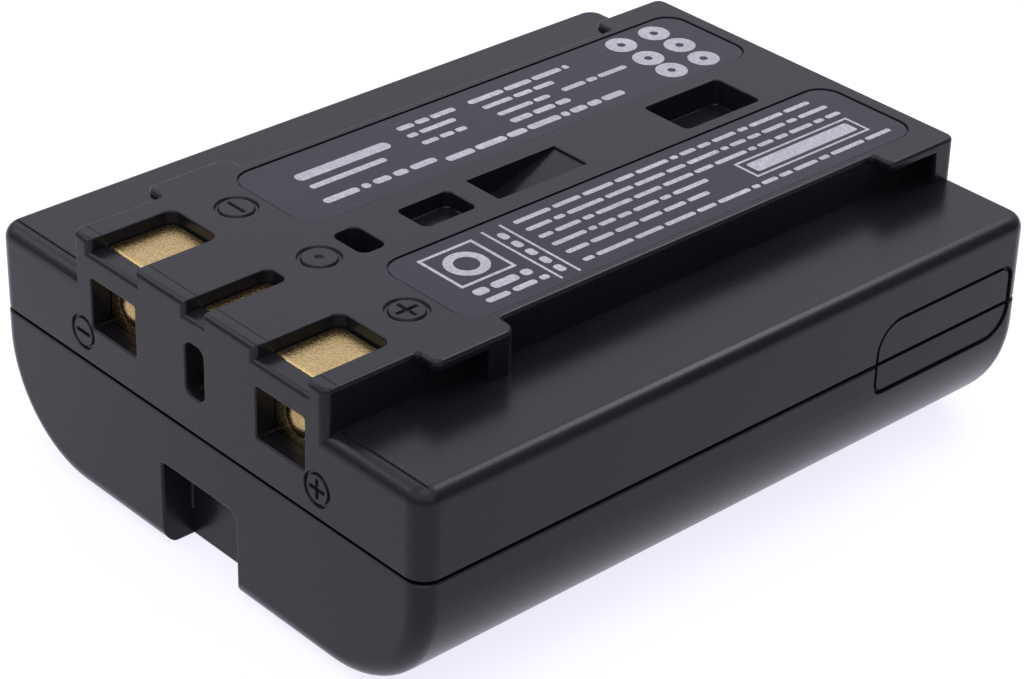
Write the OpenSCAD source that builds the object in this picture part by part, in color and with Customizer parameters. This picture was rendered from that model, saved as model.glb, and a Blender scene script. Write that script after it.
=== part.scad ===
// Slide-in rechargeable pack for a laser level, millimetres, +Z up.
// Origin: middle of the underside. +Y runs towards the closed end, the contacts are at -Y.

/* [Body] */
// Width of the pack across the rails
body_w = 62; // [60:0.5:64]
// Length of the pack from contact end to closed end
body_l = 77.5; // [76.5:0.5:80]
// Height of the shoulder decks above the underside
deck_z = 23.95; // [23.8:0.05:24.4]
// Height of the platform top above the underside
top_z = 28.3; // [28.1:0.05:28.9]
// Height of the parting line between the two shells
part_z = 14.9; // [14:0.1:15.4]
// Width of the dark gap that runs round at the parting line
part_gap = 0.35; // [0.25:0.05:0.5]
// Radius of the two long lower edges
belly_r = 12.4; // [11.8:0.1:12.6]
// Radius of the lower edges at both ends
end_r = 2; // [1:0.1:2.2]
// Radius of the four upright corners
corner_r = 2.2; // [1.6:0.1:2.4]
// Radius of the edge round the shoulder decks
deck_r = 1.5; // [1:0.1:1.6]
// Radius of the deck edges at both ends
deck_end_r = 1.55; // [1:0.05:1.8]
// Wall thickness of both shells
wall = 1.8; // [1.7:0.05:1.85]

/* [Platform and rails] */
// Width of the raised platform
plat_w = 36.8; // [36.4:0.1:37.2]
// Radius of the upright corners of the platform
plat_r = 1; // [0.6:0.1:1.2]
// Radius of the top edge of the platform at the contact end
plat_end_r = 0.65; // [0.4:0.05:1]
// How far the four rail ears stand out from the platform
ear_out = 2.4; // [2:0.1:2.6]
// Thickness of the rail ears
ear_t = 1.05; // [0.9:0.05:1.4]
// Length of the stop block under the closed end of each ear
stop_l = 2.9; // [2:0.1:3.2]

/* [Contact end] */
// Distance of the two wide contact bays from the middle
bay_x = 12.2; // [12:0.05:12.4]
// Width of the wide contact bays
bay_w = 6.9; // [6.7:0.05:7.1]
// Width of the narrow middle bay
slot_w = 2.7; // [2.6:0.05:2.9]
// Length of the bays seen from above
bay_l = 9.6; // [9.5:0.05:9.7]
// Thickness of the bridge across the front of each bay
bridge_t = 2.1; // [2:0.05:2.15]
// Height of the top of the bridges
bridge_z = 26.95; // [26.8:0.05:27]
// Lower edge of the openings in the end face
window_z = 19.1; // [18.9:0.1:19.4]
// Upper edge of the openings in the end face
window_top = 24.4; // [24:0.1:24.6]
// Thickness of the contact sheet
sheet_t = 0.4; // [0.3:0.05:0.45]

/* [Recesses] */
// Depth of the label recesses
label_d = 0.25; // [0.2:0.05:0.35]
// Thickness of the label films
film_t = 0.12; // [0.08:0.02:0.16]
// Depth of the engraved rings and bars
mark_d = 0.2; // [0.1:0.05:0.3]
// Depth of the finger grips on both long sides
grip_d = 0.4; // [0.2:0.05:0.5]
// Depth of the latch notch under the contact end
notch_d = 3.4; // [3:0.1:3.6]
// Height of the latch notch
notch_z = 9.35; // [8.5:0.05:9.8]
// Width of the latch notch
notch_w = 11; // [9:0.5:11.5]

/* [Cells] */
// Diameter of a bare cell
cell_d = 18; // [17.8:0.05:18.1]
// Distance of each cell from the middle
cell_x = 18.6; // [18.3:0.05:18.8]
// Height of the cell axes
cell_z = 11.8; // [11.7:0.05:11.9]

/* [Hidden] */
$fn = 96;
hw = body_w / 2;
hl = body_l / 2;
pw = plat_w / 2;
lo_z = part_z - part_gap / 2;
hi_z = part_z + part_gap / 2;
front = -hl;
bay_back = front + bay_l;
sheet_y = front + bridge_t + 0.05;
plate_z = bridge_z + 0.05;
foot_z = 17.5;
film_z = top_z - label_d;
cell_front = -28.4;
cell_back = 36.2;
sleeve_t = 0.15;
board_y = -33;
e = 0.01;

// ---- shared shapes -------------------------------------------------------

module rrect(x0, x1, y0, y1, r) {
    translate([x0 + r, y0]) square([x1 - x0 - 2 * r, y1 - y0]);
    translate([x0, y0 + r]) square([x1 - x0, y1 - y0 - 2 * r]);
    for (x = [x0 + r, x1 - r], y = [y0 + r, y1 - r]) translate([x, y]) circle(r);
}

// rectangle with its own radius at each corner: lower left, lower right, upper right, upper left
module rrect4(x0, x1, y0, y1, r) {
    difference() {
        translate([x0, y0]) square([x1 - x0, y1 - y0]);
        for (c = [[x0, y0, 1, 1, r[0]], [x1, y0, -1, 1, r[1]], [x1, y1, -1, -1, r[2]], [x0, y1, 1, -1, r[3]]])
            translate([c[0], c[1]]) difference() {
                translate([c[2] > 0 ? -e : -c[4], c[3] > 0 ? -e : -c[4]]) square([c[4] + e, c[4] + e]);
                translate([c[2] * c[4], c[3] * c[4]]) circle(c[4]);
            }
    }
}

// flat shape drawn in x and z, swept along y
module along_y(y0, y1) {
    translate([0, y1, 0]) rotate([90, 0, 0]) linear_extrude(height = y1 - y0) children();
}

// flat shape drawn in y and z, swept along x
module along_x(x0, x1) {
    translate([x0, 0, 0]) rotate([90, 0, 90]) linear_extrude(height = x1 - x0) children();
}

// flat shape drawn in x and y, swept upwards
module along_z(z0, z1) {
    translate([0, 0, z0]) linear_extrude(height = z1 - z0) children();
}

module box(x0, x1, y0, y1, z0, z1) {
    translate([x0, y0, z0]) cube([x1 - x0, y1 - y0, z1 - z0]);
}

module both_sides() {
    children();
    mirror([1, 0, 0]) children();
}

// section with two round lower corners
module belly(w, z0, z1, r) {
    translate([-w + r, z0]) square([2 * (w - r), z1 - z0]);
    translate([-w, z0 + r]) square([2 * w, z1 - z0 - r]);
    for (s = [-1, 1]) translate([s * (w - r), z0 + r]) circle(r);
}

module grips(d) {
    both_sides() along_x(hw - d, hw + 1) rrect4(17.5, 36.8, 11.45, 19.2, [1.2, 3.3, 1.5, 3.3]);
}

module cell_bore(r) {
    for (s = [-1, 1]) translate([s * cell_x, 0, cell_z]) rotate([90, 0, 0])
        cylinder(r = r, h = body_l, center = true);
}

module ring2d(r, t) {
    difference() { circle(r); circle(r - t); }
}

module minus2d(l, t) {
    translate([-l / 2, -t / 2]) square([l, t]);
}

module plus2d(l, t) {
    minus2d(l, t);
    rotate(90) minus2d(l, t);
}

// ---- lower shell ---------------------------------------------------------

module lower_outer() {
    intersection() {
        along_y(-hl, hl) belly(hw, 0, lo_z, belly_r);
        along_z(-1, lo_z) rrect(-hw, hw, -hl, hl, corner_r);
        along_x(-hw - 1, hw + 1) rrect(-hl, hl, 0, part_z + 10, end_r);
    }
}

module lower_cavity() {
    intersection() {
        along_y(-hl + wall, hl - wall) belly(hw - wall, wall, part_z + 6, belly_r - wall);
        along_z(0, part_z + 5) rrect(-hw + wall, hw - wall, -hl + wall, hl - wall, corner_r - 1);
    }
}

module saddle(y) {
    difference() {
        intersection() {
            along_y(y - 0.6, y + 0.6) belly(hw - wall + e, wall - e, 9, belly_r - wall);
            union() {
                box(-hw, -11.8, -hl, hl, 0, 9);
                box(11.8, hw, -hl, hl, 0, 9);
            }
        }
        cell_bore(cell_d / 2 + 0.25);
    }
}

module lower_shell() {
    color("#3a3a40")
    difference() {
        union() {
            difference() {
                lower_outer();
                lower_cavity();
            }
            // inside of the latch notch
            box(-notch_w / 2 - 1.4, notch_w / 2 + 1.4, -hl + wall - e, -hl + notch_d + 1.4, wall - e, notch_z + 1.4);
            for (y = [-20, 2, 24]) saddle(y);
            // tongue that enters the upper shell
            along_z(lo_z - 1.2, lo_z + 1.5) difference() {
                rrect(-hw + 1, hw - 1, -hl + 1, hl - 1, corner_r - 0.9);
                rrect(-hw + wall, hw - wall, -hl + wall, hl - wall, corner_r - 1);
            }
        }
        // latch notch, open at the end face and underneath
        along_y(-hl - 1, -hl + notch_d) rrect4(-notch_w / 2, notch_w / 2, -1, notch_z, [0.05, 0.05, 1, 0.3]);
        grips(grip_d);
    }
}

// ---- upper shell ---------------------------------------------------------

module deck_body() {
    intersection() {
        along_y(-hl, hl) rrect(-hw, hw, part_z - 12, deck_z, deck_r);
        along_z(hi_z, deck_z + 1) rrect(-hw, hw, -hl, hl, corner_r);
        along_x(-hw - 1, hw + 1) rrect(-hl, hl, part_z - 12, deck_z, deck_end_r);
    }
}

// plan of an ear, outer corners rounded
module ear_plan(y0, y1, r0, r1) {
    difference() {
        translate([pw - 2, y0]) square([ear_out + 2, y1 - y0]);
        translate([pw + ear_out - r0, y0]) difference() {
            translate([0, -e]) square([r0 + e, r0 + e]);
            translate([0, r0]) circle(r0);
        }
        translate([pw + ear_out - r1, y1 - r1]) difference() {
            square([r1 + e, r1 + e]);
            circle(r1);
        }
    }
}

module ears() {
    both_sides() {
        along_z(top_z - ear_t, top_z) ear_plan(-28.5, -19, 0.9, 1.4);
        along_z(deck_z - 0.5, top_z - ear_t + e) ear_plan(-19 - stop_l - 0.4, -19, 0.2, 1.4);
        along_z(top_z - ear_t, top_z) ear_plan(29.3, hl, 0.9, plat_r);
        along_z(deck_z - 0.5, top_z - ear_t + e) ear_plan(hl - stop_l, hl, 0.2, plat_r);
    }
}

// recesses along the middle of the platform: sides, start, end, depth, corner radius
middle_holes = [[-2.5, 2.1, -21.1, -18.2, 3, 0.9], [-2.35, 1.9, -13.45, -7.15, 1.7, 0.7], [-3.1, 3, 19.3, 29.55, 2.8, 0.6]];
ramp_hole = [-2.65, 2, -4.5, 6.75, 2.4];

module hole_bosses() {
    for (h = middle_holes)
        box(h[0] - 1.1, h[1] + 1.1, h[2] - 1.1, h[3] + 1.1, top_z - h[4] - 1.1, top_z - wall + e);
    box(ramp_hole[0] - 1.1, ramp_hole[1] + 1.1, ramp_hole[2] - 1.1, 3.6, top_z - ramp_hole[4] - 1.1, top_z - wall + e);
}

module hole_cuts() {
    for (h = middle_holes)
        along_z(top_z - h[4], top_z + 1) rrect(h[0], h[1], h[2], h[3], h[5]);
    // deep at the contact end, then a ramp that runs out towards the closed end
    along_x(ramp_hole[0], ramp_hole[1]) polygon([
        [ramp_hole[2], top_z + 1], [ramp_hole[2], top_z - ramp_hole[4]], [-0.8, top_z - ramp_hole[4]],
        [0.4, top_z - 2], [ramp_hole[3], top_z - 0.3], [ramp_hole[3], top_z + 1]]);
}

module bay_cuts() {
    // wide bays: open from above, open through the end face below the bridge
    for (s = [-1, 1]) {
        along_z(top_z - wall - 1, top_z + 1)
            rrect(s * bay_x - bay_w / 2, s * bay_x + bay_w / 2, front + bridge_t, bay_back, 1.1);
        box(s * bay_x - bay_w / 2, s * bay_x + bay_w / 2, front + bridge_t, front + bridge_t + 1.3, top_z - wall - 1, top_z + 1);
        along_z(bridge_z, top_z + 1) bridge_plan(s * bay_x, bay_w / 2, 0.8);
        box(s * bay_x - bay_w / 2 + 0.1, s * bay_x + bay_w / 2 - 0.1, front - 1, front + bridge_t + 1, window_z, window_top);
    }
    // narrow middle bay
    along_z(top_z - wall - 1, top_z + 1) rrect(-slot_w / 2, slot_w / 2, front + bridge_t, bay_back, 0.9);
    box(-slot_w / 2, slot_w / 2, front + bridge_t, front + bridge_t + 1.3, top_z - wall - 1, top_z + 1);
    along_z(bridge_z, top_z + 1) bridge_plan(0, slot_w / 2, 0.6);
    along_y(front - 1, front + bridge_t + 1) rrect(-slot_w / 2, slot_w / 2, window_z - 0.2, window_top, 0.9);
}

// cut above a bridge, widening towards the end face with round shoulders
module bridge_plan(x, w, r) {
    translate([x - w, front - 1]) square([2 * w, bridge_t + 1 + e]);
    for (s = [-1, 1]) translate([x + s * w, front]) difference() {
        translate([s > 0 ? -e : -r, -1]) square([r + e, r + 1]);
        translate([s * r, r]) circle(r);
    }
}

module marks() {
    for (m = [[-bay_x, 0], [0, 1], [bay_x, 2]]) translate([m[0], -24.45, 0]) along_z(top_z - mark_d, top_z + 1) {
        ring2d(2.05, 0.32);
        if (m[1] == 0) minus2d(2.7, 0.32);
        if (m[1] == 1) circle(0.45);
        if (m[1] == 2) plus2d(2.4, 0.32);
    }
    along_y(front - 1, front + mark_d) for (s = [-1, 1]) translate([s * 17.2, 18]) {
        ring2d(1.75, 0.3);
        if (s < 0) minus2d(2.2, 0.3);
        if (s > 0) plus2d(2.1, 0.3);
    }
}

module label_plan(g) {
    rrect(4.45 + g, 17.5 - g, -21.6 + g, 37 - g, 2.5 - g);
    rrect(-17.5 + g, -5.1 - g, -21.6 + g, 37 - g, 2.5 - g);
}

module upper_shell() {
    color("#3d3d43")
    difference() {
        union() {
            difference() {
                union() {
                    deck_body();
                    intersection() {
                        along_z(hi_z, top_z) rrect(-pw, pw, -hl, hl, plat_r);
                        along_x(-pw, pw) rrect4(-hl, hl, hi_z - 1, top_z, [0.3, 0.3, 0.3, plat_end_r]);
                    }
                    ears();
                }
                // room under the decks
                along_z(hi_z - 1, deck_z - wall) rrect(-hw + wall, hw - wall, -hl + wall, hl - wall, corner_r - 1);
                // room inside the platform
                box(-pw + wall, pw - wall, -hl + wall, hl - wall, deck_z - wall - e, top_z - wall);
                // rebate for the tongue of the lower shell
                along_z(hi_z - 1, lo_z + 1.65) rrect(-hw + 0.9, hw - 0.9, -hl + 0.9, hl - 0.9, corner_r - 0.8);
            }
            // thicker end wall behind the bays
            box(-pw + wall - e, pw - wall + e, front + wall - e, front + bridge_t, lo_z + 1.9, top_z - wall + e);
            hole_bosses();
        }
        hole_cuts();
        bay_cuts();
        marks();
        along_z(film_z, top_z + 1) label_plan(0);
        grips(grip_d);
    }
}

// ---- contacts ------------------------------------------------------------

// plan of a top plate, rounded at the back like its bay
module plate_plan(w) {
    translate([-w / 2, sheet_y]) square([w, 3]);
    rrect(-w / 2, w / 2, sheet_y + 1, bay_back - 0.25, min(0.95, 0.3 * w));
}

// sheet bent into a C: top plate, upright leg at the end face, foot on the board
module contact(x, w, dimple) {
    color("#c9a75c")
    translate([x, 0, 0]) difference() {
        union() {
            along_z(plate_z - sheet_t, plate_z) plate_plan(w);
            box(-w / 2, w / 2, sheet_y, sheet_y + sheet_t, foot_z, plate_z);
            box(-w / 2, w / 2, sheet_y, board_y + 1, foot_z, foot_z + sheet_t);
            if (dimple) intersection() {
                translate([0, sheet_y + 2.45, 21.9]) sphere(3);
                box(-3, 3, sheet_y - 1, sheet_y + sheet_t / 2, 19, 25);
            }
        }
        if (dimple) translate([0, sheet_y + 2.45, 21.9]) sphere(3 - sheet_t);
    }
}

module contact_negative() { contact(-bay_x, bay_w - 0.4, true); }
module contact_middle() { contact(0, slot_w - 0.4, false); }
module contact_positive() { contact(bay_x, bay_w - 0.4, true); }

module contact_carrier() {
    color("#2b2b2e")
    difference() {
        box(-pw + wall + 0.2, pw - wall - 0.2, sheet_y + sheet_t + 0.05, cell_front - 1.2, foot_z + sheet_t + 0.05, top_z - wall - 0.05);
        // open ribs between the bays lighten the block
        for (s = [-1, 1]) box(s * 6 - 2.2, s * 6 + 2.2, sheet_y + 2, cell_front, foot_z - 1, top_z - wall - 1.2);
        // room for the plates
        for (x = [[-bay_x, bay_w], [0, slot_w], [bay_x, bay_w]])
            box(x[0] - x[1] / 2, x[0] + x[1] / 2, sheet_y, bay_back, plate_z - sheet_t - 0.05, top_z);
    }
}

// ---- cells and their wiring ----------------------------------------------

module tube_y(x, z, r, y0, y1) {
    translate([x, y1, z]) rotate([90, 0, 0]) cylinder(r = r, h = y1 - y0);
}

module cell(x) {
    color("#b9bcc0") union() {
        tube_y(x, cell_z, cell_d / 2, cell_front, cell_back);
        tube_y(x, cell_z, 3, cell_front - 0.6, cell_front + e);
    }
}

module sleeve(x) {
    color("#2f6f9f") difference() {
        tube_y(x, cell_z, cell_d / 2 + 0.02 + sleeve_t, cell_front - 0.02 - sleeve_t, cell_back - 0.4);
        tube_y(x, cell_z, cell_d / 2 + 0.02, cell_front - 0.02, cell_back);
        tube_y(x, cell_z, 7.2, cell_front - 1, cell_front);
    }
}

module ring(x) {
    color("#e8e6df") difference() {
        tube_y(x, cell_z, 7.1, cell_front - 0.27, cell_front - 0.02);
        tube_y(x, cell_z, 3.2, cell_front - 1, cell_front + 1);
    }
}

module cell_left() { cell(-cell_x); }
module cell_right() { cell(cell_x); }
module cell_sleeve_left() { sleeve(-cell_x); }
module cell_sleeve_right() { sleeve(cell_x); }
module cell_ring_left() { ring(-cell_x); }
module cell_ring_right() { ring(cell_x); }

module bus_front() {
    color("#c4c6c8") box(-cell_x - 3.4, cell_x + 3.4, cell_front - 0.8, cell_front - 0.6, cell_z - 3, cell_z + 3);
}

module bus_rear() {
    color("#c4c6c8") union() {
        box(-cell_x - 4, cell_x + 4, cell_back, cell_back + 0.2, cell_z - 3, cell_z + 3);
        box(1.2, 4.8, cell_back, cell_back + 0.2, cell_z + 2.9, cell_z + 5.4);
    }
}

module foam_rear() {
    color("#55585c") box(-cell_x - 6, cell_x + 6, cell_back + 0.2, hl - wall - 0.02, cell_z - 4.5, cell_z + 4.5);
}

module foam_left() {
    color("#55585c") box(-24.5, -17.2, -15, 27, cell_z + 9.19, deck_z - wall - 0.02);
}

module foam_right() { mirror([1, 0, 0]) foam_left(); }

module insulating_card() {
    color("#d8c9a2") difference() {
        box(-24.5, 24.5, cell_front - 1.4, cell_front - 1.1, 4.2, 16.8);
        box(-5, 5, -hl, hl, 9.8, 17.5);
    }
}

module cell_spacer() {
    color("#2b2b2e") difference() {
        box(-11, 11, -18.8, 22.8, wall + 0.02, 9.6);
        cell_bore(cell_d / 2 + 0.3);
        box(-3.5, 3.5, -16, 20, wall + 1.4, 10);
    }
}

module lead_negative() { color("#1d1d1f") tube_y(3, cell_z + 4.2, 0.8, board_y + 1, cell_back); }
module lead_positive() { color("#b3261e") tube_y(-3, cell_z, 0.8, board_y + 1, cell_front - 0.8); }

module thermistor() {
    color("#2a4a34") union() {
        tube_y(-7.9, cell_z, 1.3, -13, -10.6);
        tube_y(-7.6, cell_z + 0.6, 0.22, -28.6, -12);
        tube_y(-7.6, cell_z - 0.6, 0.22, -28.6, -12);
    }
}

// ---- board ---------------------------------------------------------------

module protection_board() {
    color("#2f6b45") difference() {
        box(-22, 22, board_y, board_y + 1, 5.2, foot_z);
        for (s = [-1, 1]) tube_y(s * 19.5, 7.5, 1.1, board_y - 1, board_y + 2);
    }
}

module chip(x, z, w, h, t, c) {
    color(c) box(x - w / 2, x + w / 2, board_y + 1, board_y + 1 + t, z - h / 2, z + h / 2);
}

module control_chip() { chip(-9.5, 12.5, 3, 3, 1.1, "#1a1a1c"); }
module switch_chip_left() { chip(8.5, 9.5, 4.4, 3, 1, "#1a1a1c"); }
module switch_chip_right() { chip(14.5, 9.5, 4.4, 3, 1, "#1a1a1c"); }
module sense_resistor() { chip(11.5, 14.2, 3.2, 1.6, 0.6, "#242426"); }
module filter_capacitor() { chip(-13.5, 14.2, 1.6, 0.8, 0.8, "#b08a5a"); }
module bypass_capacitor() { chip(-13.5, 10.8, 1.6, 0.8, 0.8, "#b08a5a"); }

// ---- labels --------------------------------------------------------------

// film that lies in the recess between x0 and x1
module label_film(x0, x1) {
    color("#36363d") along_z(film_z, film_z + film_t) rrect(x0 + 0.15, x1 - 0.15, -21.45, 36.85, 2.35);
}

module label_right() { label_film(4.45, 17.5); }
module label_left() { label_film(-17.5, -5.1); }

lower_shell();
upper_shell();
contact_carrier();
contact_negative();
contact_middle();
contact_positive();
cell_left();
cell_right();
cell_sleeve_left();
cell_sleeve_right();
cell_ring_left();
cell_ring_right();
bus_front();
bus_rear();
insulating_card();
foam_rear();
foam_left();
foam_right();
cell_spacer();
lead_positive();
lead_negative();
thermistor();
protection_board();
control_chip();
switch_chip_left();
switch_chip_right();
sense_resistor();
filter_capacitor();
bypass_capacitor();
label_left();
label_right();
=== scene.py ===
import math
from math import radians, sin, cos, pi

import bmesh
import bpy
from mathutils import Matrix, Vector


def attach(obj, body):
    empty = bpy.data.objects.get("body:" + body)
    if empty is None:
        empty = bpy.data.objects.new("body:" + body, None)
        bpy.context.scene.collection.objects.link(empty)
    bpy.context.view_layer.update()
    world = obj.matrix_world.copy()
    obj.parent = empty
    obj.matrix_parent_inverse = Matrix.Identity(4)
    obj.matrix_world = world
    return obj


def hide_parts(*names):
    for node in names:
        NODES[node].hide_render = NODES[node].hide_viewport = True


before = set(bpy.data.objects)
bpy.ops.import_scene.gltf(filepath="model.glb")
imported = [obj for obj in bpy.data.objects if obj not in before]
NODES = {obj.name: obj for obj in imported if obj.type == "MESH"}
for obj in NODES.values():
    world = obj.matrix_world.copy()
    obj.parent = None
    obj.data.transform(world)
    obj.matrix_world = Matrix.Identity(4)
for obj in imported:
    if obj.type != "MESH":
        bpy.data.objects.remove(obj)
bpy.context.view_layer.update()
scene = bpy.context.scene
MM = 0.001


# ---- node helpers ---------------------------------------------------------

def new_material(name):
    m = bpy.data.materials.new(name)
    m.use_nodes = True
    nt = m.node_tree
    nt.nodes.clear()
    out = nt.nodes.new("ShaderNodeOutputMaterial")
    bsdf = nt.nodes.new("ShaderNodeBsdfPrincipled")
    nt.links.new(bsdf.outputs["BSDF"], out.inputs["Surface"])
    coords = nt.nodes.new("ShaderNodeTexCoord")
    return m, nt, bsdf, coords


def noise(nt, coords, scale, detail=3.0, rough=0.5, stretch=None):
    n = nt.nodes.new("ShaderNodeTexNoise")
    n.inputs["Scale"].default_value = scale
    n.inputs["Detail"].default_value = detail
    n.inputs["Roughness"].default_value = rough
    source = coords.outputs["Object"]
    if stretch:
        mapping = nt.nodes.new("ShaderNodeMapping")
        mapping.inputs["Scale"].default_value = stretch
        nt.links.new(source, mapping.inputs["Vector"])
        source = mapping.outputs["Vector"]
    nt.links.new(source, n.inputs["Vector"])
    return n.outputs["Fac"]


def ramp(nt, fac, stops):
    r = nt.nodes.new("ShaderNodeValToRGB")
    elements = r.color_ramp.elements
    while len(elements) < len(stops):
        elements.new(0.5)
    for e, (pos, colour) in zip(elements, stops):
        e.position = pos
        e.color = (*colour, 1) if len(colour) == 3 else colour
    nt.links.new(fac, r.inputs["Fac"])
    return r.outputs["Color"]


def span(nt, fac, low, high, fmin=0.25, fmax=0.75):
    r = nt.nodes.new("ShaderNodeMapRange")
    r.inputs["From Min"].default_value = fmin
    r.inputs["From Max"].default_value = fmax
    r.inputs["To Min"].default_value = low
    r.inputs["To Max"].default_value = high
    nt.links.new(fac, r.inputs["Value"])
    return r.outputs["Result"]


def mix(nt, fac, a, b):
    m = nt.nodes.new("ShaderNodeMix")
    m.data_type = "RGBA"
    if isinstance(fac, float):
        m.inputs["Factor"].default_value = fac
    else:
        nt.links.new(fac, m.inputs["Factor"])
    for value, name in ((a, "A"), (b, "B")):
        socket = [s for s in m.inputs if s.name == name and s.type == "RGBA"][0]
        if isinstance(value, tuple):
            socket.default_value = (*value, 1)
        else:
            nt.links.new(value, socket)
    return [s for s in m.outputs if s.type == "RGBA"][0]


def bump(nt, bsdf, height, strength, distance, under=None):
    b = nt.nodes.new("ShaderNodeBump")
    b.inputs["Strength"].default_value = strength
    b.inputs["Distance"].default_value = distance
    nt.links.new(height, b.inputs["Height"])
    if under is not None:
        nt.links.new(under, b.inputs["Normal"])
    nt.links.new(b.outputs["Normal"], bsdf.inputs["Normal"])
    return b.outputs["Normal"]


def moulded(name, dark, light, rough, grain, strength, ior=1.5):
    """Moulded plastic: fine spark-eroded grain, slow changes in tone and gloss."""
    m, nt, bsdf, co = new_material(name)
    slow = noise(nt, co, 55, 2.0)
    fine = noise(nt, co, grain, 2.0, 0.6)
    speck = noise(nt, co, grain * 0.37, 3.0, 0.7)
    base = ramp(nt, slow, [(0.35, dark), (0.65, light)])
    nt.links.new(mix(nt, span(nt, speck, 0.0, 0.35, 0.35, 0.7), base, tuple(min(1, c * 1.5) for c in light)),
                 bsdf.inputs["Base Color"])
    rough_slow = span(nt, slow, rough - 0.02, rough + 0.02)
    add = nt.nodes.new("ShaderNodeMath")
    add.operation = "ADD"
    nt.links.new(rough_slow, add.inputs[0])
    nt.links.new(span(nt, fine, -0.03, 0.04), add.inputs[1])
    nt.links.new(add.outputs[0], bsdf.inputs["Roughness"])
    bsdf.inputs["IOR"].default_value = ior
    bump(nt, bsdf, fine, strength, 0.00002)
    return m


def metal(name, dark, light, rough, grain, strength):
    """Stamped sheet: fine grain across the surface, tone that wanders a little."""
    m, nt, bsdf, co = new_material(name)
    fine = noise(nt, co, grain, 4.0, 0.7)
    slow = noise(nt, co, 210, 3.0)
    base = ramp(nt, fine, [(0.3, dark), (0.7, light)])
    nt.links.new(mix(nt, span(nt, slow, 0.0, 0.35), base, dark), bsdf.inputs["Base Color"])
    bsdf.inputs["Metallic"].default_value = 1.0
    nt.links.new(span(nt, fine, rough - 0.06, rough + 0.08), bsdf.inputs["Roughness"])
    bump(nt, bsdf, fine, strength, 0.00004)
    return m


def matte(name, dark, light, rough, scale, strength, distance=0.00005, detail=4.0, stretch=None):
    """Paper, foam, film, laminate and the like."""
    m, nt, bsdf, co = new_material(name)
    fine = noise(nt, co, scale, detail, 0.6, stretch)
    slow = noise(nt, co, 90, 2.0)
    nt.links.new(mix(nt, span(nt, slow, 0.0, 0.5), ramp(nt, fine, [(0.3, dark), (0.7, light)]), dark),
                 bsdf.inputs["Base Color"])
    nt.links.new(span(nt, fine, rough - 0.05, rough + 0.05), bsdf.inputs["Roughness"])
    bump(nt, bsdf, fine, strength, distance)
    return m


MATS = {
    "upper_plastic": moulded("upper_plastic", (0.0048, 0.0047, 0.0060), (0.0066, 0.0065, 0.0082), 0.26, 5200, 0.06, 1.285),
    "lower_plastic": moulded("lower_plastic", (0.0048, 0.0047, 0.0060), (0.0066, 0.0065, 0.0082), 0.26, 5200, 0.06, 1.265),
    "carrier_plastic": moulded("carrier_plastic", (0.006, 0.006, 0.007), (0.009, 0.009, 0.010), 0.42, 4200, 0.4),
    "spacer_plastic": moulded("spacer_plastic", (0.012, 0.012, 0.013), (0.018, 0.018, 0.020), 0.45, 4200, 0.4),
    "contact_metal": metal("contact_metal", (0.27, 0.185, 0.070), (0.55, 0.42, 0.195), 0.22, 3600, 0.7),
    "nickel_strip": metal("nickel_strip", (0.52, 0.51, 0.49), (0.72, 0.71, 0.68), 0.34, 3800, 0.3),
    "cell_can": metal("cell_can", (0.46, 0.47, 0.49), (0.66, 0.67, 0.69), 0.28, 2600, 0.25),
    "sleeve_film": matte("sleeve_film", (0.02, 0.10, 0.23), (0.03, 0.14, 0.30), 0.3, 700, 0.25),
    "ring_paper": matte("ring_paper", (0.62, 0.61, 0.56), (0.74, 0.73, 0.68), 0.85, 2600, 0.5),
    "foam": matte("foam", (0.045, 0.048, 0.052), (0.12, 0.125, 0.13), 0.95, 1500, 0.9, 0.0002),
    "card": matte("card", (0.50, 0.42, 0.26), (0.64, 0.55, 0.37), 0.85, 2200, 0.5, stretch=(1, 1, 4)),
    "red_insulation": matte("red_insulation", (0.42, 0.02, 0.012), (0.52, 0.035, 0.02), 0.42, 900, 0.2),
    "black_insulation": matte("black_insulation", (0.008, 0.008, 0.009), (0.016, 0.016, 0.017), 0.42, 900, 0.2),
    "bead_resin": matte("bead_resin", (0.012, 0.045, 0.024), (0.02, 0.065, 0.034), 0.25, 900, 0.2),
    "board_laminate": matte("board_laminate", (0.012, 0.10, 0.035), (0.02, 0.15, 0.055), 0.3, 2600, 0.3, stretch=(3, 1, 1)),
    "chip_resin": matte("chip_resin", (0.009, 0.009, 0.010), (0.02, 0.02, 0.021), 0.6, 3000, 0.5),
    "chip_ceramic": matte("chip_ceramic", (0.34, 0.23, 0.13), (0.45, 0.32, 0.19), 0.5, 2500, 0.3),
    "label_film": moulded("label_film", (0.0055, 0.0055, 0.0095), (0.0085, 0.0085, 0.0135), 0.24, 2600, 0.12, 1.295),
    "print_ink": matte("print_ink", (0.20, 0.20, 0.21), (0.44, 0.44, 0.455), 0.5, 3600, 0.3, 0.00002),
}


# ---- mesh helpers ---------------------------------------------------------
# Shapes are built in millimetres from closed stacks of outlines, joined and cut
# as solids, and scaled to metres at the end.

def arc_steps(turn):
    return max(2, int(abs(turn) / radians(11)) + 1)


def outline(corners):
    """A closed outline from corners (x, y, r), each rounded by its own r."""
    pts, n = [], len(corners)
    for i, (x, y, r) in enumerate(corners):
        p = Vector((x, y))
        if r <= 0:
            pts.append((x, y))
            continue
        u = (Vector(corners[i - 1][:2]) - p).normalized()
        v = (Vector(corners[(i + 1) % n][:2]) - p).normalized()
        phi = u.angle(v)
        s = p + u * (r / math.tan(phi / 2))
        c = p + (u + v).normalized() * (r / sin(phi / 2))
        turn = pi - phi
        sign = 1 if u.x * v.y - u.y * v.x < 0 else -1
        steps = arc_steps(turn)
        a0 = math.atan2(s.y - c.y, s.x - c.x)
        for k in range(steps + 1):
            a = a0 + sign * turn * k / steps
            pts.append((c.x + r * cos(a), c.y + r * sin(a)))
    return pts


def rrect(x0, x1, y0, y1, r):
    return outline([(x1, y0, r), (x1, y1, r), (x0, y1, r), (x0, y0, r)])


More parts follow.
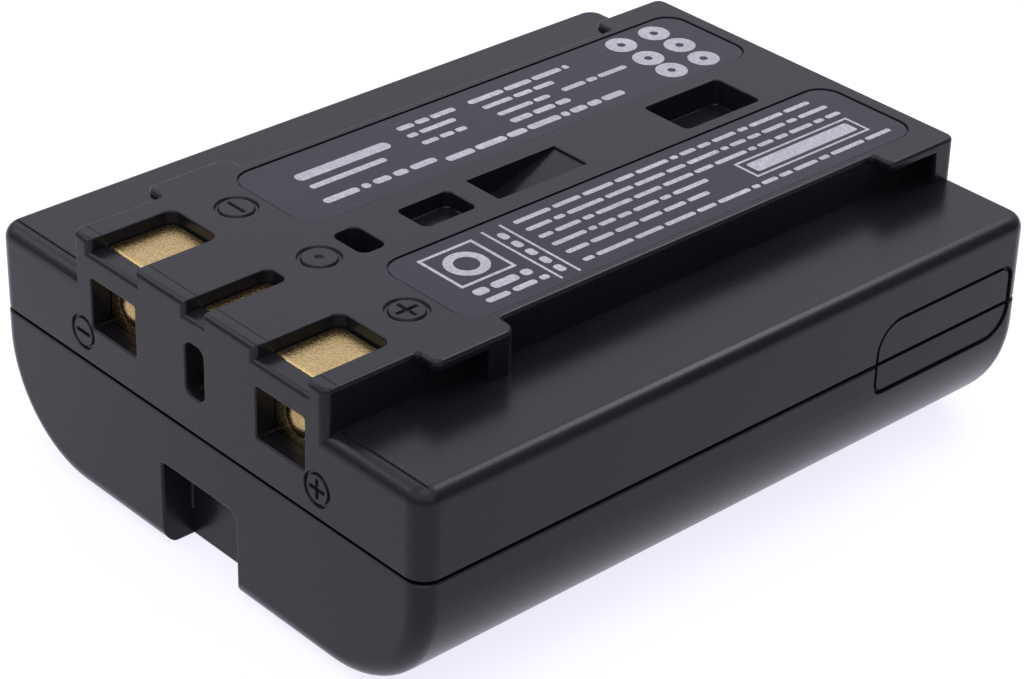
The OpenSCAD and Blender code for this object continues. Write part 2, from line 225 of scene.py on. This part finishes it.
def circle(cx, cy, r, steps=48):
    return [(cx + r * cos(2 * pi * i / steps), cy + r * sin(2 * pi * i / steps)) for i in range(steps)]


def grow(loop, d):
    """The outline moved outwards by d, or inwards where d is negative."""
    if abs(d) < 1e-9:
        return list(loop)
    n, out = len(loop), []
    for i in range(n):
        a, b, c = Vector(loop[i - 1]), Vector(loop[i]), Vector(loop[(i + 1) % n])
        e1, e2 = (b - a).normalized(), (c - b).normalized()
        n1, n2 = Vector((e1.y, -e1.x)), Vector((e2.y, -e2.x))
        m = (n1 + n2) / max(0.25, 1 + n1.dot(n2))
        out.append((b.x + d * m.x, b.y + d * m.y))
    return out


TOPV = lambda u, v, h: (u, v, h)          # outlines in x, y; stacked upwards
FRONT = lambda u, v, h: (u, -h, v)        # outlines in x, z; stacked towards -Y
RIGHT = lambda u, v, h: (h, u, v)         # outlines in y, z; stacked towards +X
LEFT = lambda u, v, h: (-h, u, v)


def solid(levels, place=TOPV, name="solid"):
    """A closed solid from a stack of (outline, height) with equal point counts."""
    bm = bmesh.new()
    rows = [[bm.verts.new(place(x, y, h)) for x, y in loop] for loop, h in levels]
    n = len(rows[0])
    for a, b in zip(rows, rows[1:]):
        for i in range(n):
            j = (i + 1) % n
            bm.faces.new((a[i], a[j], b[j], b[i]))
    bm.faces.new(list(reversed(rows[0])))
    bm.faces.new(rows[-1])
    return tidy(bm, name)


def band(outer, inner, place=TOPV, name="band"):
    """A closed ring between two stacks of (outline, height) with equal counts."""
    bm = bmesh.new()
    loops = list(outer) + list(reversed(inner))
    rows = [[bm.verts.new(place(x, y, h)) for x, y in loop] for loop, h in loops]
    n, k = len(rows[0]), len(rows)
    for a in range(k):
        b = (a + 1) % k
        for i in range(n):
            j = (i + 1) % n
            bm.faces.new((rows[a][i], rows[a][j], rows[b][j], rows[b][i]))
    return tidy(bm, name)


def tidy(bm, name):
    bmesh.ops.remove_doubles(bm, verts=bm.verts, dist=1e-5)
    bmesh.ops.dissolve_degenerate(bm, edges=bm.edges, dist=1e-5)
    bmesh.ops.recalc_face_normals(bm, faces=bm.faces)
    return from_bmesh(bm, name)


def block(x0, x1, y0, y1, z0, z1):
    return solid([([(x1, y0), (x1, y1), (x0, y1), (x0, y0)], z) for z in (z0, z1)], name="block")


def crown(loop, z0, z1, r, n=5, foot=0.0):
    """A solid's stack whose top rim is rounded by r, and its bottom rim by foot."""
    levels = []
    if foot:
        for k in range(3):
            t = radians(90 * k / 3)
            levels.append((grow(loop, -foot * (1 - sin(t))), z0 + foot * (1 - cos(t))))
        levels.append((loop, z0 + foot))
    else:
        levels.append((loop, z0))
    levels.append((loop, z1 - r))
    for k in range(1, n + 1):
        t = radians(90 * k / n)
        levels.append((grow(loop, -r * (1 - cos(t))), z1 - r + r * sin(t)))
    return levels


def flare(loop, z0, z1, r, n=4, over=1.5, root=0.0):
    """A cutter's stack that opens out by r at the surface z1; root rounds its floor."""
    levels = []
    if root:
        for k in range(3):
            t = radians(90 * k / 3)
            levels.append((grow(loop, -root * (1 - sin(t))), z0 + root * (1 - cos(t))))
        levels.append((loop, z0 + root))
    else:
        levels.append((loop, z0))
    levels.append((loop, z1 - r))
    for k in range(1, n + 1):
        t = radians(90 * k / n)
        levels.append((grow(loop, r * (1 - cos(t))), z1 - r + r * sin(t)))
    levels.append((grow(loop, r), z1 + over))
    return levels


def from_bmesh(bm, name):
    me = bpy.data.meshes.new(name)
    bm.to_mesh(me)
    bm.free()
    ob = bpy.data.objects.new(name, me)
    scene.collection.objects.link(ob)
    return ob


def bake(ob):
    """The object's modifiers applied to its mesh."""
    bpy.context.view_layer.update()
    graph = bpy.context.evaluated_depsgraph_get()
    me = bpy.data.meshes.new_from_object(ob.evaluated_get(graph), depsgraph=graph)
    me.name = ob.name
    ob.modifiers.clear()
    ob.data = me
    return ob


def csg(a, op, *others):
    """a joined with, cut by or limited to the other solids, which are used up."""
    for b in others:
        mod = a.modifiers.new("csg", "BOOLEAN")
        mod.operation = op
        mod.solver = "MANIFOLD"
        mod.object = b
        bake(a)
        bpy.data.objects.remove(b)
    return a


def add(a, *others):
    return csg(a, "UNION", *others)


def cut(a, *others):
    return csg(a, "DIFFERENCE", *others)


def finish_mesh(ob, name, angle=29, flat=0.15):
    """Join coplanar triangles, scale to metres, and shade: flat faces stay flat."""
    bm = bmesh.new()
    bm.from_mesh(ob.data)
    bmesh.ops.remove_doubles(bm, verts=bm.verts, dist=2e-4)
    bmesh.ops.dissolve_degenerate(bm, edges=bm.edges, dist=2e-4)
    bmesh.ops.dissolve_limit(bm, angle_limit=radians(flat), verts=bm.verts, edges=bm.edges, delimit=set())
    bmesh.ops.recalc_face_normals(bm, faces=bm.faces)
    open_edges = sum(1 for e in bm.edges if not e.is_manifold)
    bmesh.ops.scale(bm, vec=(MM, MM, MM), verts=bm.verts)
    bm.to_mesh(ob.data)
    bm.free()
    ob.name = ob.data.name = name
    me = ob.data
    me.polygons.foreach_set("use_smooth", [True] * len(me.polygons))
    me.set_sharp_from_angle(angle=radians(angle))
    weighted = ob.modifiers.new("normals", "WEIGHTED_NORMAL")
    weighted.keep_sharp = True
    weighted.weight = 80
    bake(ob)
    print("MESH", name, len(ob.data.vertices), len(ob.data.polygons), "open edges", open_edges)
    return ob


def finish_piece(ob, slot, replaces=None, material=None):
    ob.data.materials.clear()
    ob.data.materials.append(MATS[material or slot])
    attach(ob, "root")
    if replaces:
        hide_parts(replaces)
    return ob


# ---- upper shell ----------------------------------------------------------

HW, HL, DECK, TOP, PW = 31.0, 38.75, 23.95, 28.3, 18.4
LO, HI = 14.69, 15.11
BAYS = (-12.2, 12.2)
SHEET_Y = -36.6
HOLES = ((-2.5, 2.1, -21.1, -18.2, 3.0, 0.9), (-2.35, 1.9, -13.45, -7.15, 1.7, 0.7),
         (-3.1, 3.0, 19.3, 29.55, 2.8, 0.6))


def ear_corners(s):
    """One side of the platform's outline, ears included, from the contact end back."""
    side = [(PW, -HL, 1.0), (PW, -28.5, 0.3), (20.8, -28.5, 0.9), (20.8, -19.0, 1.4), (PW, -19.0, 0.3),
            (PW, 29.3, 0.3), (20.8, 29.3, 0.9), (20.8, HL, 1.0)]
    return side if s > 0 else [(-x, y, r) for x, y, r in reversed(side)]


def groove(loop, half, place, surface, depth=0.25):
    """A closed engraved line along a loop, soft at the surface and round at the bottom."""
    outer = [(grow(loop, half + 0.05), surface + 0.4), (grow(loop, half + 0.05), surface),
             (grow(loop, half), surface - 0.04), (grow(loop, half * 0.55), surface - depth)]
    inner = [(grow(loop, -half - 0.05), surface + 0.4), (grow(loop, -half - 0.05), surface),
             (grow(loop, -half), surface - 0.04), (grow(loop, -half * 0.55), surface - depth)]
    return band(outer, inner, place, "groove")


def stroke(x0, x1, y0, y1, place, surface, depth=0.25):
    """A straight engraved bar."""
    loop = rrect(x0, x1, y0, y1, min(x1 - x0, y1 - y0) * 0.3)
    h = min(x1 - x0, y1 - y0) / 2
    return solid([(grow(loop, -0.45 * h), surface - depth), (loop, surface - 0.04),
                  (grow(loop, 0.05), surface), (grow(loop, 0.05), surface + 0.4)], place, "stroke")


def grip_cutters(place):
    """Finger recess on a long side: a shallow floor inside a narrow, deeper border."""
    loop = outline([(36.8, 11.45, 3.3), (36.8, 19.2, 1.5), (17.5, 19.2, 3.3), (17.5, 11.45, 1.2)])
    floor = solid([(grow(loop, -0.2), HW - 0.12), (grow(loop, 0.0), HW - 0.05),
                   (grow(loop, 0.05), HW), (grow(loop, 0.05), HW + 1)], place, "grip")
    border = band([(grow(loop, 0.05), HW + 0.5), (grow(loop, 0.05), HW - 0.04), (grow(loop, -0.04), HW - 0.45)],
                  [(grow(loop, -0.46), HW + 0.5), (grow(loop, -0.46), HW - 0.1), (grow(loop, -0.34), HW - 0.45)],
                  place, "grip_border")
    return floor, border


def shoulder_plan(x, w, r):
    """Plan of the cut above a bridge: widens to the end face with round shoulders."""
    pts = [(x + w, -36.4), (x - w, -36.4)]
    k = 12
    pts += [(x - w - r + r * cos(t), -HL + r - r * sin(t)) for t in [radians(90 * i / k) for i in range(k + 1)]]
    pts += [(x - w - r, -HL - 1.5), (x + w + r, -HL - 1.5)]
    pts += [(x + w + r - r * cos(t), -HL + r - r * sin(t)) for t in [radians(90 * (k - i) / k) for i in range(k + 1)]]
    return pts


def build_upper():
    deck_loop = rrect(-HW, HW, -HL, HL, 2.2)
    body = solid(crown(deck_loop, HI, DECK, 1.5, 12, 0.12), name="upper")
    cap_loop = outline(ear_corners(1) + ear_corners(-1))
    core_loop = rrect(-PW, PW, -HL, HL, 1.0)
    add(body, solid([(core_loop, 20.0), (core_loop, 27.6)]))
    add(body, solid(crown(cap_loop, 27.25, TOP, 0.42, 5, 0.22)))
    for s in (1, -1):
        for y0, y1, r in ((-22.3, -19.0, 1.4), (35.85, HL, 1.0)):
            corners = [(17, y0, 0), (20.8, y0, 0.3), (20.8, y1, r), (17, y1, 0)]
            if s < 0:
                corners = [(-x, y, q) for x, y, q in reversed(corners)]
            loop = outline(corners)
            add(body, solid([(loop, 23.0), (loop, 27.5)]))
    # rooms inside
    cut(body, solid([(rrect(-29.2, 29.2, -36.95, 36.95, 1.2), z) for z in (14.0, 22.15)]),
        block(-16.6, 16.6, -36.95, 36.95, 22.0, 26.5),
        solid([(rrect(-30.1, 30.1, -37.85, 37.85, 1.4), z) for z in (14.0, 16.375)]))
    add(body, block(-16.7, 16.7, -37.2, -36.65, 16.625, 26.6))
    for x0, x1, y0, y1, d, r in HOLES:
        add(body, block(x0 - 1.1, x1 + 1.1, y0 - 1.1, y1 + 1.1, TOP - d - 1.1, 26.6))
    add(body, block(-3.75, 3.1, -5.6, 3.6, TOP - 3.5, 26.6))
    # recesses along the middle
    for x0, x1, y0, y1, d, r in HOLES:
        cut(body, solid(flare(rrect(x0, x1, y0, y1, r), TOP - d, TOP, 0.18, root=0.2)))
    ramp_side = [(-4.5, TOP + 1), (-4.5, TOP - 2.4), (-0.8, TOP - 2.4), (-0.1, TOP - 2.3), (0.6, TOP - 1.95),
                 (6.75, TOP - 0.3), (6.75, TOP + 1)]
    cut(body, solid([(ramp_side, -2.65), (ramp_side, 2.0)], RIGHT))
    cut(body, solid(flare(rrect(-2.65, 2.0, -4.5, 6.75, 0.12), TOP - 0.2, TOP, 0.16)))
    # contact bays, the bridges in front of them, and the openings in the end face
    for x, w, rr, rs in ((BAYS[0], 3.45, 1.1, 0.8), (0.0, 1.35, 0.9, 0.6), (BAYS[1], 3.45, 1.1, 0.8)):
        bay = outline([(x + w, -36.65, 0.02), (x + w, -29.15, rr), (x - w, -29.15, rr), (x - w, -36.65, 0.02)])
        cut(body, solid(flare(bay, 20.0, TOP, 0.2)))
        plan = shoulder_plan(x, w, rs)
        cut(body, solid(flare(plan, 26.95, TOP, 0.2)))
        R = 0.6
        nose = [(-HL - 1, 26.0), (-HL, 26.0), (-HL, 26.95 - R)]
        nose += [(-HL + R - R * cos(t), 26.95 - R + R * sin(t)) for t in [radians(90 * i / 8) for i in range(1, 9)]]
        nose += [(-HL + R, 27.4), (-HL - 1, 27.4)]
        edge = solid([(nose, x - 5), (nose, x + 5)], RIGHT)
        csg(edge, "INTERSECT", solid([(plan, 25.5), (plan, 29.0)]))
        cut(body, edge)
        # soft inner edge of the bridge
        if w > 2:
            win = rrect(x - w + 0.1, x + w - 0.1, 19.1, 24.4, 0.25)
        else:
            win = rrect(x - w, x + w, 18.9, 24.4, 0.9)
        cut(body, solid(flare(win, 36.0, HL, 0.2), FRONT))
    # rounded top edge at the contact end, and the fine lines left by the mould's end block
    R = 0.65
    nose = [(-HL - 1, TOP - R), (-HL, TOP - R)]
    nose += [(-HL + R - R * cos(t), TOP - R + R * sin(t)) for t in [radians(90 * i / 8) for i in range(1, 9)]]
    nose += [(-HL + R, TOP + 1), (-HL - 1, TOP + 1)]
    cut(body, solid([(nose, -19.0), (nose, 19.0)], RIGHT))
    for half, depth, z, x0, x1 in ((0.20, 0.15, DECK, -31.0, -18.9), (0.20, 0.15, DECK, 18.9, 31.0),
                                   (0.06, 0.045, TOP, -18.0, 18.0)):
        line = [(-37.2 - half, z + 0.4), (-37.2 - half, z), (-37.2 - half * 0.6, z - depth),
                (-37.2 + half * 0.6, z - depth), (-37.2 + half, z), (-37.2 + half, z + 0.4)]
        cut(body, solid([(line, x0), (line, x1)], RIGHT))
    # label recesses
    for x0, x1 in ((4.45, 17.5), (-17.5, -5.1)):
        cut(body, solid(flare(rrect(x0, x1, -21.6, 37.0, 2.5), 28.05, TOP, 0.09)))
    # engraved polarity marks
    for k, x in enumerate((-12.2, 0.0, 12.2)):
        y = -24.45
        cut(body, groove(circle(x, y, 1.9), 0.21, TOPV, TOP))
        if k != 1:
            cut(body, stroke(x - 1.25, x + 1.25, y - 0.2, y + 0.2, TOPV, TOP))
        if k == 2:
            cut(body, stroke(x - 0.2, x + 0.2, y - 1.25, y + 1.25, TOPV, TOP))
        if k == 1:
            cut(body, solid([(circle(x, y, 0.3, 24), TOP - 0.2), (circle(x, y, 0.42, 24), TOP - 0.04),
                             (circle(x, y, 0.47, 24), TOP), (circle(x, y, 0.47, 24), TOP + 0.4)]))
    for s in (-1, 1):
        cut(body, groove(circle(s * 17.2, 18.0, 1.6), 0.19, FRONT, HL))
        cut(body, stroke(s * 17.2 - 1.05, s * 17.2 + 1.05, 17.81, 18.19, FRONT, HL))
        if s > 0:
            cut(body, stroke(s * 17.2 - 0.19, s * 17.2 + 0.19, 16.95, 19.05, FRONT, HL))
    cut(body, *grip_cutters(RIGHT), *grip_cutters(LEFT))
    return finish_mesh(body, "upper_case")


# ---- lower shell ----------------------------------------------------------

def belly(w, z0, r, top, d=0.0, steps=16):
    """Section of the tray: upright sides, two large round lower edges, moved in by d."""
    pts = [(w - d, top), (-w + d, top)]
    pts += [(-w + r - (r - d) * cos(t), z0 + r - (r - d) * sin(t)) for t in [radians(90 * i / steps) for i in range(steps + 1)]]
    pts += [(w - r + (r - d) * sin(t), z0 + r - (r - d) * cos(t)) for t in [radians(90 * i / steps) for i in range(steps + 1)]]
    return pts


def cell_bores(r):
    return [solid([([(a, b) for a, b in circle(s * 18.6, 11.8, r, 64)], h) for h in (-45.0, 45.0)], FRONT) for s in (-1, 1)]


def build_lower():
    R, n = 2.1, 8
    levels = []
    for k in range(n + 1):
        t = radians(90 * k / n)
        levels.append((belly(HW, 0, 12.4, 17.0, R * (1 - sin(t))), -HL + R * (1 - cos(t))))
    for k in range(n, -1, -1):
        t = radians(90 * k / n)
        levels.append((belly(HW, 0, 12.4, 17.0, R * (1 - sin(t))), HL - R * (1 - cos(t))))
    body = solid([(loop, -h) for loop, h in levels], FRONT, "lower")
    lid = rrect(-HW, HW, -HL, HL, 2.2)
    csg(body, "INTERSECT", solid([(grow(lid, 1.0), -1.0), (grow(lid, 0.3), 14.36), (grow(lid, 0.02), 14.57),
                                  (grow(lid, -0.04), 14.63), (grow(lid, -0.12), LO)]))
    inner = belly(29.2, 1.8, 10.6, 20.0)
    cut(body, solid([(inner, -36.95), (inner, 36.95)], FRONT))
    ring_out, ring_in = rrect(-30.0, 30.0, -37.75, 37.75, 1.3), rrect(-29.2, 29.2, -36.95, 36.95, 1.2)
    add(body, band([(ring_out, 13.5), (ring_out, 16.225)], [(ring_in, 13.5), (ring_in, 16.225)]))
    add(body, block(-6.9, 6.9, -37.2, -33.95, 1.5, 10.6))
    for y in (-20, 2, 24):
        for s in (-1, 1):
            saddle = solid([(belly(29.3, 1.7, 10.7, 20.0), -y - 0.6), (belly(29.3, 1.7, 10.7, 20.0), -y + 0.6)], FRONT)
            csg(saddle, "INTERSECT", block(min(s * 11.8, s * 31), max(s * 11.8, s * 31), -40, 40, 0, 9.0))
            cut(saddle, *cell_bores(9.25))
            add(body, saddle)
    notch = outline([(-5.5, -3, 0), (5.5, -3, 0), (5.5, 9.35, 1.0), (-5.5, 9.35, 0.3)])
    cut(body, solid(flare(notch, 35.35, HL, 0.28, root=0.35), FRONT))
    base = [(5.5, -HL - 3), (5.5, -35.35), (-5.5, -35.35), (-5.5, -HL - 3)]
    cut(body, solid([(base, 3.0), (base, 0.28), (grow(base, 0.04), 0.14), (grow(base, 0.12), 0.05),
                     (grow(base, 0.28), 0.0), (grow(base, 0.28), -2.0)]))
    cut(body, *grip_cutters(RIGHT), *grip_cutters(LEFT))
    return finish_mesh(body, "lower_case")


upper = finish_piece(build_upper(), "upper_plastic", "upper_shell")
lower = finish_piece(build_lower(), "lower_plastic", "lower_shell")


# ---- contacts -------------------------------------------------------------

def terminal(x, w, dimple, name):
    """Sheet bent into a C with round bends and, on the wide ones, a pressed dimple."""
    t = 0.4
    y0, yb, yf, z1, z0 = SHEET_Y, -29.4, -32.0, 27.0, 17.5
    side = outline([(yb, z1, 0.04), (y0, z1, 0.42), (y0, z0, 0.42), (yf, z0, 0.04), (yf, z0 + t, 0.04),
                    (y0 + t, z0 + t, 0.08), (y0 + t, z1 - t, 0.08), (yb, z1 - t, 0.04)])
    side = list(reversed(side))
    sheet = solid([(side, x - w / 2), (side, x + w / 2)], RIGHT, name)
    rr = min(0.95, 0.3 * w)
    plan = outline([(x + w / 2 + 0.01, y0 - 1, 0), (x + w / 2 + 0.01, yb, rr), (x - w / 2 - 0.01, yb, rr), (x - w / 2 - 0.01, y0 - 1, 0)])
    csg(sheet, "INTERSECT", solid([(plan, 17.0), (plan, 28.0)]))
    if dimple:
        zc, h, r = 21.9, 0.58, 3.0
        rings = []
        for k in range(9):
            a = radians(35.5 * k / 8)
            rings.append((r * sin(a), h - r * (1 - cos(a))))
        rings += [(1.95, -0.005), (2.15, -0.03)]
        levels = [(circle(x, zc, max(q, 0.03), 40), -y0 + hh) for q, hh in reversed(rings)]
        levels.insert(0, (circle(x, zc, 2.15, 40), -y0 - 0.25))
        add(sheet, solid(levels, FRONT))
        hollow = [(circle(x, zc, 1.5, 40), -y0 - t - 0.5), (circle(x, zc, 1.5, 40), -y0 - t), (circle(x, zc, 1.2, 40), -y0 - 0.18),
                  (circle(x, zc, 0.6, 40), -y0 + 0.02), (circle(x, zc, 0.1, 40), -y0 + 0.1)]
        cut(sheet, solid(hollow, FRONT))
    return finish_mesh(sheet, name)


for node, x, w, dimple in (("contact_negative", -12.2, 6.5, True), ("contact_middle", 0.0, 2.3, False),
                           ("contact_positive", 12.2, 6.5, True)):
    finish_piece(terminal(x, w, dimple, node.replace("contact", "terminal")), "contact_metal", node)


# ---- label films with generic pale bars -----------------------------------

FILM, INK = 28.17, 0.014

for x0, x1, node, name in ((-17.35, -5.25, "label_left", "film_left"), (4.6, 17.35, "label_right", "film_right")):
    loop = rrect(x0, x1, -21.45, 36.85, 2.35)
    finish_piece(finish_mesh(solid(crown(loop, 28.05, FILM, 0.04, 4)), name), "label_film", node)


def prism(bm, pts, z0=FILM - 0.002, z1=FILM + INK):
    low = [bm.verts.new((x * MM, y * MM, z0 * MM)) for x, y in pts]
    high = [bm.verts.new((x * MM, y * MM, z1 * MM)) for x, y in pts]
    bm.faces.new(list(reversed(low)))
    bm.faces.new(high)
    for i in range(len(pts)):
        j = (i + 1) % len(pts)
        bm.faces.new((low[i], low[j], high[j], high[i]))


def bar(bm, x0, x1, y0, y1, r=None):
    """A rounded bar of ink on the film."""
    r = min(x1 - x0, y1 - y0) * 0.42 if r is None else r
    prism(bm, rrect(x0, x1, y0, y1, r))


def ink_ring(bm, cx, cy, r0, r1, steps=40):
    """A flat ring of ink with its own thickness."""
    z0, z1 = (FILM - 0.002) * MM, (FILM + INK) * MM
    rows = []
    for r, z in ((r0, z0), (r1, z0), (r1, z1), (r0, z1)):
        rows.append([bm.verts.new(((cx + r * cos(2 * pi * i / steps)) * MM,
                                   (cy + r * sin(2 * pi * i / steps)) * MM, z)) for i in range(steps)])
    for k in range(4):
        a, b = rows[k], rows[(k + 1) % 4]
        for i in range(steps):
            j = (i + 1) % steps
            bm.faces.new((a[i], b[i], b[j], a[j]))


def words(bm, x, y0, y1, h, seed, gap=0.5, unit=0.36):
    """A greeked line that runs along Y: plain bars of word-like lengths."""
    y, k = y0, seed
    while y < y1 - 0.6:
        k = (k * 7 + 3) % 11
        w = min(0.9 + unit * k, y1 - y)
        if w > 0.5:
            bar(bm, x - h / 2, x + h / 2, y, y + w)
        y += w + gap


def frame_bars(bm, x0, x1, y0, y1, t):
    bar(bm, x0, x0 + t, y0, y1, 0.08)
    bar(bm, x1 - t, x1, y0, y1, 0.08)
    bar(bm, x0 + t, x1 - t, y0, y0 + t, 0.02)
    bar(bm, x0 + t, x1 - t, y1 - t, y1, 0.02)


def ink_left():
    bm = bmesh.new()
    # plain bars
    bar(bm, -13.9, -12.5, -16.6, -5.2)
    bar(bm, -11.4, -10.6, -16.6, -7.4)
    words(bm, -8.0, -17.4, -2.6, 0.95, 4)
    for x, h, spans in ((-14.95, 0.8, ((-2.6, 5.2), (6.6, 20.0))), (-13.2, 0.72, ((-2.8, 3.8), (7.0, 16.4))),
                        (-11.2, 0.72, ((-2.6, 3.0), (7.2, 14.0), (15.8, 24.6))), (-9.3, 0.85, ((7.2, 15.0),)),
                        (-7.15, 0.95, ((-3.0, 20.4),))):
        for i, (y0, y1) in enumerate(spans):
            words(bm, x, y0, y1, h, i + int(abs(x) * 3), 0.34)
    for x, y in ((-15.1, 27.7), (-15.0, 32.3), (-11.3, 32.4), (-11.1, 27.7), (-7.5, 32.1), (-7.6, 27.6)):
        ink_ring(bm, x, y, 0.45, 1.66)
    return bm


def ink_right():
    bm = bmesh.new()
    # a plain framed block
    x0, x1, y0, y1 = 6.1, 12.4, -18.2, -11.6
    frame_bars(bm, x0, x1, y0, y1, 0.35)
    ink_ring(bm, (x0 + x1) / 2, (y0 + y1) / 2, 1.25, 2.2)
    words(bm, 13.8, -18.0, -11.2, 1.1, 3)
    words(bm, 15.5, -18.0, -10.6, 0.75, 5)
    # two rules across the film with short bars between
    bar(bm, 5.7, 16.7, -10.15, -9.87, 0.08)
    bar(bm, 5.7, 16.7, -7.95, -7.67, 0.08)
    for i in range(5):
        bar(bm, 6.9 + 1.9 * i, 8.2 + 1.9 * i, -9.35, -8.47)
    for i, (x, y1) in enumerate(((6.3, 33.6), (8.05, 33.8), (9.8, 33.8), (11.6, 13.5), (13.45, 12.0))):
        words(bm, x, -6.5, y1, 0.62, i + 1, 0.42)
    words(bm, 15.5, -6.3, 35.2, 0.6, 6, 0.42)
    # a plain framed panel
    frame_bars(bm, 11.0, 14.3, 17.6, 33.4, 0.28)
    bar(bm, 11.75, 13.55, 18.5, 32.5, 0.3)
    return bm


for name, make in (("print_left", ink_left), ("print_right", ink_right)):
    ink = make()
    bmesh.ops.recalc_face_normals(ink, faces=ink.faces)
    finish_piece(from_bmesh(ink, name), "label_film", material="print_ink")

# ---- everything else keeps its CAD shape ----------------------------------

SLOT_OF = {
    "contact_carrier": "carrier_plastic",
    "cell_left": "cell_can", "cell_right": "cell_can",
    "cell_sleeve_left": "sleeve_film", "cell_sleeve_right": "sleeve_film",
    "cell_ring_left": "ring_paper", "cell_ring_right": "ring_paper",
    "bus_front": "nickel_strip", "bus_rear": "nickel_strip",
    "insulating_card": "card",
    "foam_rear": "foam", "foam_left": "foam", "foam_right": "foam",
    "cell_spacer": "spacer_plastic",
    "lead_positive": "red_insulation", "lead_negative": "black_insulation",
    "thermistor": "bead_resin",
    "protection_board": "board_laminate",
    "control_chip": "chip_resin", "switch_chip_left": "chip_resin", "switch_chip_right": "chip_resin",
    "sense_resistor": "chip_resin",
    "filter_capacitor": "chip_ceramic", "bypass_capacitor": "chip_ceramic",
}
for node, slot in SLOT_OF.items():
    ob = NODES[node]
    for i in range(len(ob.material_slots)):
        ob.material_slots[i].material = MATS[slot]

# ---- floor, light, camera -------------------------------------------------

# strength of the floor's painted glow
FLOOR_PAINTED_GLOW = 0.82
SKY = ((0.0, 0.30), (0.25, 0.50), (0.42, 1.02), (0.56, 1.40), (0.70, 1.60), (0.80, 1.30), (1.0, 0.80))
SKY_GAIN = 1.09
DIM_LOBE = ((0.72, 0.62, 0.28), 0.72, 0.97)

TINT = (0.985, 0.97, 1.09)


def grey(v):
    return tuple(v * c for c in TINT)


# pale paper with a painted pool of light: the floor glows where the pack stands, falling off further out
floor_mat, nt, bsdf, co = new_material("floor_paper_painted_glow")
spot = nt.nodes.new("ShaderNodeVectorMath")
spot.operation = "LENGTH"
nt.links.new(co.outputs["Object"], spot.inputs[0])
# painted glow pool mask: 1 where the pack stands, 0 from 0.55 m out; it also blends the paper's base colour
painted_glow_pool = span(nt, spot.outputs["Value"], 1.0, 0.0, 0.20, 0.55)
paper = ramp(nt, noise(nt, co, 30, 3.0), [(0.3, (0.20, 0.20, 0.202)), (0.7, (0.22, 0.22, 0.221))])
nt.links.new(mix(nt, painted_glow_pool, (0.22, 0.22, 0.23), paper), bsdf.inputs["Base Color"])
nt.links.new(span(nt, noise(nt, co, 400, 2.0), 0.85, 0.95), bsdf.inputs["Roughness"])
bsdf.inputs["IOR"].default_value = 1.2
# painted light: the floor itself emits, brightest under the pack, though it is no lamp
bsdf.inputs["Emission Strength"].default_value = FLOOR_PAINTED_GLOW
nt.links.new(mix(nt, painted_glow_pool, (0.0, 0.0, 0.0), grey(1.0)), bsdf.inputs["Emission Color"])
bm = bmesh.new()
bmesh.ops.create_grid(bm, x_segments=8, y_segments=8, size=3.0)
floor = from_bmesh(bm, "floor")
floor.data.materials.append(floor_mat)
floor.location.z = -0.00003

# studio: dim towards the horizon, brightest at mid height, dim again behind the far corner
world = bpy.data.worlds.new("studio")
scene.world = world
world.use_nodes = True
wn = world.node_tree
wn.nodes.clear()
w_out = wn.nodes.new("ShaderNodeOutputWorld")
w_bg = wn.nodes.new("ShaderNodeBackground")
w_co = wn.nodes.new("ShaderNodeTexCoord")
w_xyz = wn.nodes.new("ShaderNodeSeparateXYZ")
wn.links.new(w_co.outputs["Generated"], w_xyz.inputs[0])
height = ramp(wn, w_xyz.outputs["Z"], [(z, grey(v)) for z, v in SKY])


def lobe(direction, low, high):
    d = wn.nodes.new("ShaderNodeVectorMath")
    d.operation = "DOT_PRODUCT"
    d.inputs[1].default_value = Vector(direction).normalized()
    wn.links.new(w_co.outputs["Generated"], d.inputs[0])
    r = wn.nodes.new("ShaderNodeMapRange")
    r.interpolation_type = "SMOOTHSTEP"
    r.inputs["From Min"].default_value = low
    r.inputs["From Max"].default_value = high
    wn.links.new(d.outputs["Value"], r.inputs["Value"])
    return r.outputs["Result"]


sky = mix(wn, lobe(*DIM_LOBE), height, grey(0.25))
wn.links.new(sky, w_bg.inputs["Color"])
w_bg.inputs["Strength"].default_value = SKY_GAIN
wn.links.new(w_bg.outputs[0], w_out.inputs[0])


def softbox(name, direction, distance, size, watts):
    light = bpy.data.lights.new(name, "AREA")
    light.shape = "RECTANGLE"
    light.size, light.size_y = size
    light.energy = watts
    light.color = TINT
    ob = bpy.data.objects.new(name, light)
    d = Vector(direction).normalized()
    ob.location = d * distance + Vector((0, 0, 0.015))
    ob.rotation_euler = d.to_track_quat("Z", "Y").to_euler()
    scene.collection.objects.link(ob)
    return ob


softbox("light_back", (0.02, 0.60, 0.80), 0.9, (0.42, 0.20), 1.8)
softbox("light_left", (-0.66, -0.42, 0.62), 0.9, (0.34, 0.22), 0.4)
softbox("light_top", (0.15, -0.15, 1.0), 1.1, (0.7, 0.7), 3.0)

cam_data = bpy.data.cameras.new("camera")
cam_data.sensor_fit = "HORIZONTAL"
cam_data.sensor_width = 36.0
cam_data.lens = 108.35
cam_data.clip_start = 0.01
cam_data.clip_end = 20.0
camera = bpy.data.objects.new("camera", cam_data)
right = Vector((0.6689548, 0.7429009, 0.0244480))
up = Vector((-0.3946965, 0.3271543, 0.8585946))
back = -Vector((-0.6298525, 0.5840105, -0.5120718))
camera.matrix_world = Matrix(((right.x, up.x, back.x, 0.189601),
                              (right.y, up.y, back.y, -0.176288),
                              (right.z, up.z, back.z, 0.164623),
                              (0, 0, 0, 1)))
scene.collection.objects.link(camera)
scene.camera = camera
scene.view_settings.view_transform = "Standard"

bpy.context.view_layer.update()
